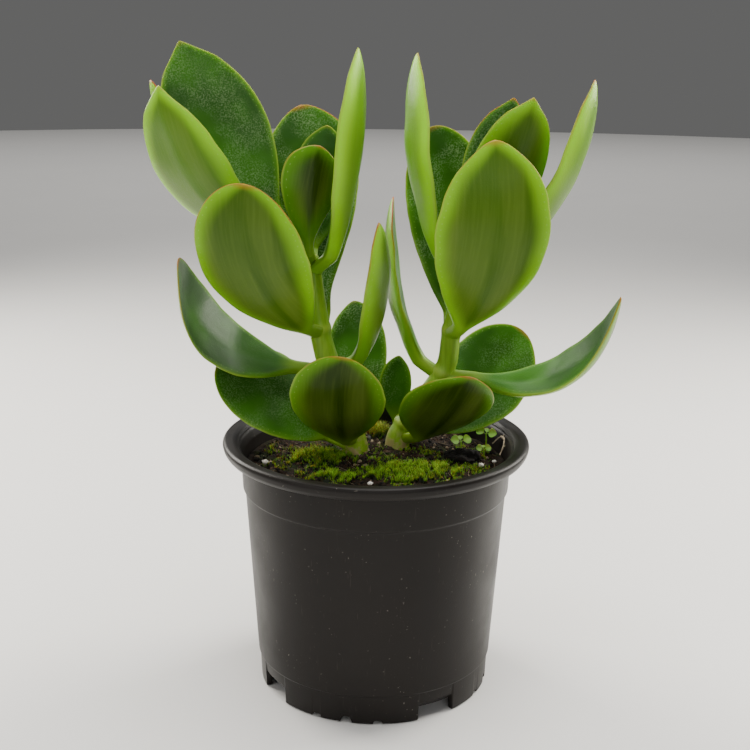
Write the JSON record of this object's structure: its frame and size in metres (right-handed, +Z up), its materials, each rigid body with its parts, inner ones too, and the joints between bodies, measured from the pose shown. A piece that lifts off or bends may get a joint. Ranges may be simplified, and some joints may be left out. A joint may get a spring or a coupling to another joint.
{
  "type": "potted jade plant",
  "caption": "Young jade plant with fleshy paired leaves on two shoots, growing in mossy peat in a round black plastic nursery pot.",
  "frame": {"origin": "on the pot's axis, on the surface that the pot stands on, which is also the centre of the footprint of the whole plant's bounding box to within 2 mm", "axes": "+Z up along the pot's axis; -Y is the front, with the two shoots side by side along X"},
  "size_m": [0.1775, 0.12, 0.249],
  "materials": {
    "pot_plastic": "satin black moulded plastic with fine scuffs and dust",
    "peat": "rough dark peat with brown fibres",
    "young_stem": "smooth fleshy light yellow-green stem",
    "leaf_skin": "waxy fleshy green leaf with a thin red margin",
    "moss_green": "fine bright green moss",
    "white_grain": "rough off-white perlite",
    "sprout_green": "thin fresh green seed leaves",
    "straw": "dry pale root"
  },
  "bodies": {
    "root": {"pot": "pot_plastic", "soil": "peat", "left_stem": "young_stem", "right_stem": "young_stem", "side_shoot": "young_stem", "left_basal_front_leaf": "leaf_skin", "left_basal_back_leaf": "leaf_skin", "left_basal_side_leaf": "leaf_skin", "left_low_outer_leaf": "leaf_skin", "left_low_inner_leaf": "leaf_skin", "left_mid_front_leaf": "leaf_skin", "left_mid_back_leaf": "leaf_skin", "left_upper_inner_leaf": "leaf_skin", "left_top_front_leaf": "leaf_skin", "left_top_back_leaf": "leaf_skin", "side_shoot_front_leaf": "leaf_skin", "side_shoot_back_leaf": "leaf_skin", "side_shoot_young_leaf": "leaf_skin", "right_basal_front_leaf": "leaf_skin", "right_basal_back_leaf": "leaf_skin", "right_basal_small_leaf": "leaf_skin", "right_low_outer_leaf": "leaf_skin", "right_low_inner_leaf": "leaf_skin", "right_mid_front_leaf": "leaf_skin", "right_mid_back_leaf": "leaf_skin", "right_upper_outer_leaf": "leaf_skin", "right_upper_inner_leaf": "leaf_skin", "right_top_front_leaf": "leaf_skin", "right_top_back_leaf": "leaf_skin", "moss_front_right": "moss_green", "moss_front_left": "moss_green", "moss_front_centre": "moss_green", "moss_between_stems": "moss_green", "perlite_grain_1": "white_grain", "perlite_grain_2": "white_grain", "perlite_grain_3": "white_grain", "perlite_grain_4": "white_grain", "perlite_grain_5": "white_grain", "perlite_grain_6": "white_grain", "seedling_1": "sprout_green", "seedling_2": "sprout_green", "seedling_3": "sprout_green", "dry_rootlet": "straw"}
  },
  "joints": []
}
